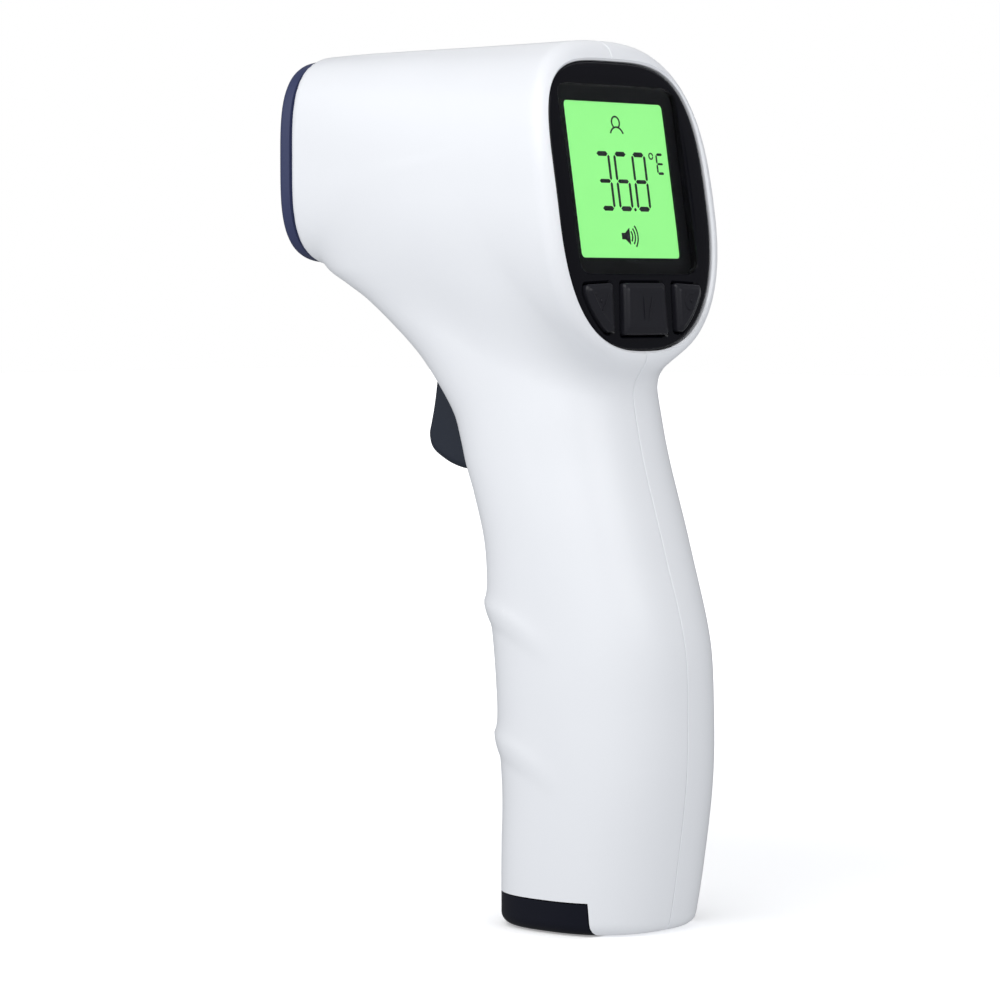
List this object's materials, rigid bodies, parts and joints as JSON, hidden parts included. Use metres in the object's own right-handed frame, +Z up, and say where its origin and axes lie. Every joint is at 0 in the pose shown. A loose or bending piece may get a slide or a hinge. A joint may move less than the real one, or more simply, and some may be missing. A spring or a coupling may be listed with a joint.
{
  "type": "infrared forehead thermometer",
  "caption": "Pistol-shaped non-contact infrared thermometer with a backlit display, front keys, a trigger, an open sensor nose and a battery cap under the grip.",
  "frame": {"origin": "centre of the grip's flat base, at the battery cap's lower face", "axes": "+Z up the grip, -Y the way the sensor looks, +Y the way the display faces, X across"},
  "size_m": [0.0448, 0.0817, 0.1496],
  "materials": {
    "housing": "white ABS, satin gloss",
    "nose_trim": "slate blue ABS, satin",
    "black_gloss": "black, glossy",
    "keys": "black keys, satin, raised marks",
    "window": "clear cover",
    "display": "backlit green display",
    "milky": "natural moulded plastic",
    "charcoal": "bluish black ABS, satin",
    "cap_black": "black ABS, fine texture",
    "circuit_board": "solder mask",
    "red_insulation": "wire insulation",
    "black_insulation": "wire insulation",
    "soft_grey": "soft rubber",
    "cell_jacket": "painted metal jacket",
    "filter": "dark infrared filter",
    "aluminium": "turned",
    "spring_steel": "nickel plated",
    "steel": "plated steel"
  },
  "bodies": {
    "housing": {"battery_1": "cell_jacket", "battery_2": "cell_jacket", "battery_holder": "milky", "battery_wire_black": "black_insulation", "battery_wire_red": "red_insulation", "buzzer": "black_gloss", "controller_chip": "charcoal", "display_bezel": "black_gloss", "display_window": "window", "housing_screw_1": "steel", "housing_screw_2": "steel", "housing_screw_3": "steel", "housing_screw_4": "steel", "housing_screw_5": "steel", "key_switch_center": "steel", "key_switch_left": "steel", "key_switch_right": "steel", "lcd_backlight": "milky", "lcd_holder": "milky", "lcd_panel": "display", "left_shell": "housing", "main_board": "circuit_board", "negative_contact": "spring_steel", "nose_ring": "nose_trim", "positive_contact": "spring_steel", "right_shell": "housing", "sensor_board": "circuit_board", "sensor_cable": "soft_grey", "sensor_cone": "black_gloss", "sensor_sleeve": "aluminium", "sensor_window": "filter", "thermopile_sensor": "steel", "trigger_board": "circuit_board", "trigger_pin": "steel", "trigger_spring": "spring_steel", "trigger_switch": "steel", "zebra_strip": "soft_grey"},
    "trigger": {"trigger": "charcoal"},
    "button_left": {"button_left": "keys"},
    "button_center": {"button_center": "keys"},
    "button_right": {"button_right": "keys"},
    "battery_cap": {"battery_cap": "cap_black", "contact_link": "spring_steel"}
  },
  "joints": [
    {"name": "trigger_pull", "type": "hinge", "parent": "housing", "child": "trigger", "pos_m": [0, -0.0264, 0.0934], "axis": [1, 0, 0], "range_deg": [0, 7], "stiffness_Nm_per_rad": 0.13, "deforming": ["trigger_spring"]},
    {"name": "button_left_press", "type": "slide", "parent": "housing", "child": "button_left", "axis": [0, -0.9877, -0.1564], "range_m": [0, 0.001], "stiffness_N_per_m": 400},
    {"name": "button_center_press", "type": "slide", "parent": "housing", "child": "button_center", "axis": [0, -0.9877, -0.1564], "range_m": [0, 0.001], "stiffness_N_per_m": 400},
    {"name": "button_right_press", "type": "slide", "parent": "housing", "child": "button_right", "axis": [0, -0.9877, -0.1564], "range_m": [0, 0.001], "stiffness_N_per_m": 400},
    {"name": "battery_cap_slide", "type": "slide", "parent": "housing", "child": "battery_cap", "axis": [0, -1, 0], "range_m": [0, 0.032]}
  ]
}
